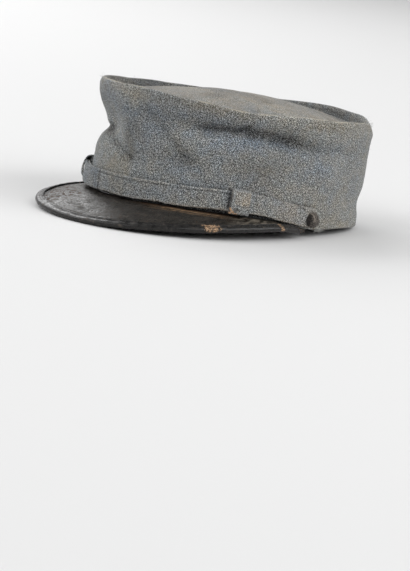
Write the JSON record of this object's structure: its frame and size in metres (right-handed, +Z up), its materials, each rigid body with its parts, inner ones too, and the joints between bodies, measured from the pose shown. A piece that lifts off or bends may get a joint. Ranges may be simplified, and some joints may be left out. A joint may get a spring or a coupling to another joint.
{
  "type": "kepi cap",
  "caption": "Worn wool kepi cap with a soft folded crown, sunken top, bound leather peak and a cloth false chin strap held by loops and side buttons.",
  "frame": {"origin": "centre of the bounding box's base, on the surface that the cap rests on", "axes": "+Z up, -Y towards the front and the peak, +X towards the wearer's left"},
  "size_m": [0.1784, 0.2522, 0.0863],
  "materials": {
    "wool": "heathered blue-grey wool cloth, matte, worn",
    "top_wool": "faded grey-beige wool cloth, matte",
    "peak_leather": "worn, polished black leather",
    "binding_leather": "black leather strip, rubbed through to tan in places",
    "button": "dark, dull metal"
  },
  "bodies": {
    "root": {"crown_side": "wool", "crown_top": "top_wool", "peak": "peak_leather", "peak_binding": "binding_leather", "strap_left": "wool", "strap_right": "wool", "keeper_left": "wool", "keeper_right": "wool", "button_left": "button", "button_right": "button"}
  },
  "joints": []
}
